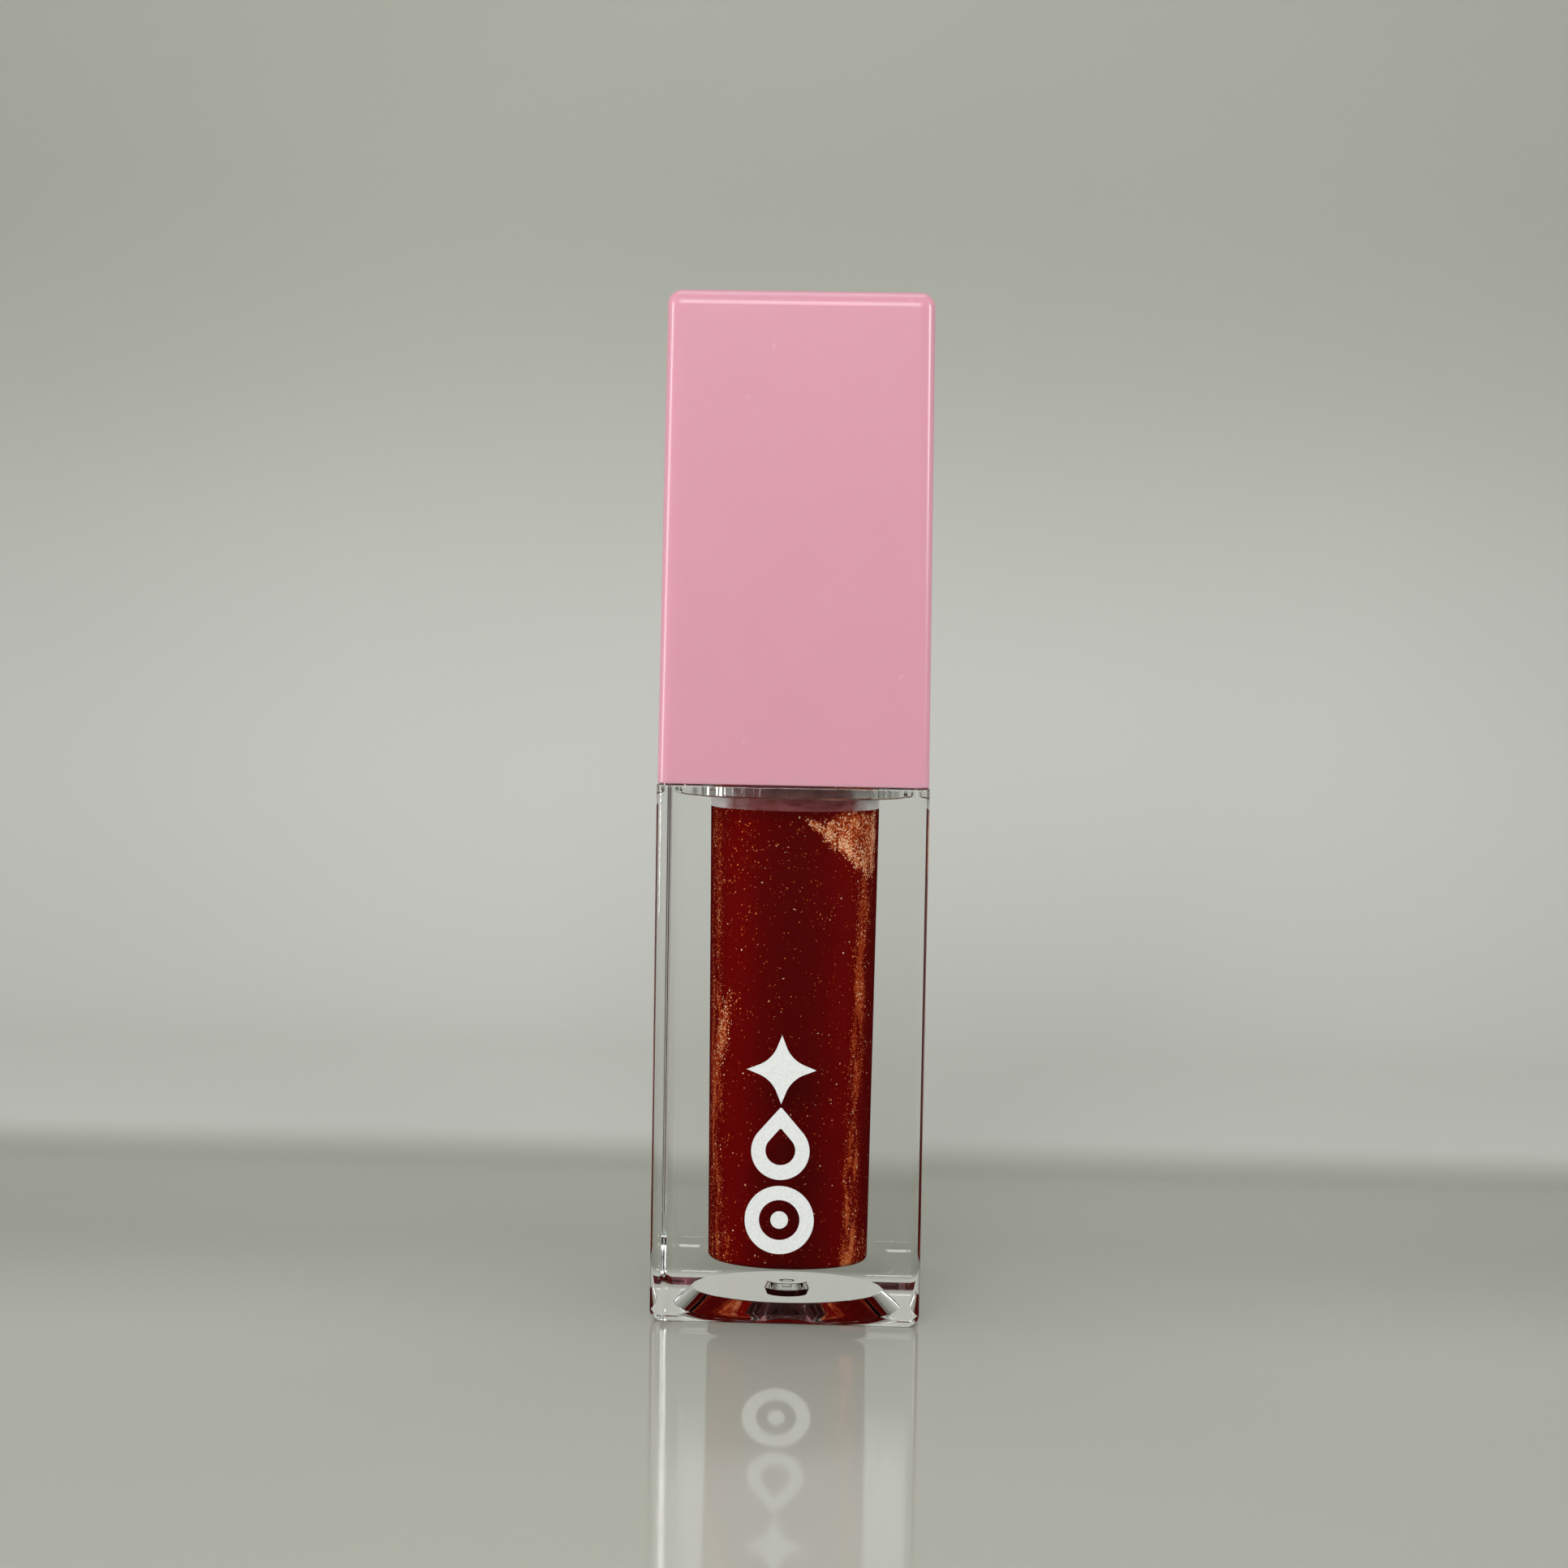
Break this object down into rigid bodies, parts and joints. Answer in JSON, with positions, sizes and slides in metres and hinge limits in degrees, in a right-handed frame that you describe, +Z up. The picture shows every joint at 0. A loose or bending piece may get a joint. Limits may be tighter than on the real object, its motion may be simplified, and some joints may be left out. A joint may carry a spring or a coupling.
{
  "type": "lip gloss tube",
  "caption": "Square clear-walled lip gloss tube with a round gloss well, an internal wiper and a square opaque screw cap that carries a flocked doe-foot wand.",
  "frame": {"origin": "centre of the base, on the plane that the tube stands on", "axes": "+Z up along the tube, front (printed) face towards -Y, +X to the right of a viewer at the front"},
  "size_m": [0.02, 0.02, 0.0759],
  "materials": {
    "clear_plastic": "clear, polished",
    "gloss": "thick red gel with copper glitter",
    "wiper_plastic": "translucent, satin",
    "white_ink": "screen ink",
    "foam_liner": "matte foam",
    "collar_plastic": "moulded, satin",
    "cap_plastic": "moulded, glossy pink",
    "stem_plastic": "moulded, satin",
    "tip_plastic": "moulded, soft",
    "flock": "short flock, stained by the gloss"
  },
  "bodies": {
    "bottle": {"bottle": "clear_plastic", "gloss_fill": "gloss", "wiper": "wiper_plastic", "front_print": "white_ink"},
    "washer": {"seal_washer": "foam_liner"},
    "cap": {"cap_shell": "cap_plastic", "inner_collar": "collar_plastic", "wand_stem": "stem_plastic", "tip_core": "tip_plastic", "tip_flock": "flock"}
  },
  "joints": [
    {"name": "cap_lift", "type": "slide", "parent": "bottle", "child": "washer", "axis": [0, 0, 1], "range_m": [0, 0.05]},
    {"name": "cap_turn", "type": "hinge", "parent": "washer", "child": "cap", "pos_m": [0, 0, 0], "axis": [0, 0, 1], "range_deg": [0, 450]}
  ]
}
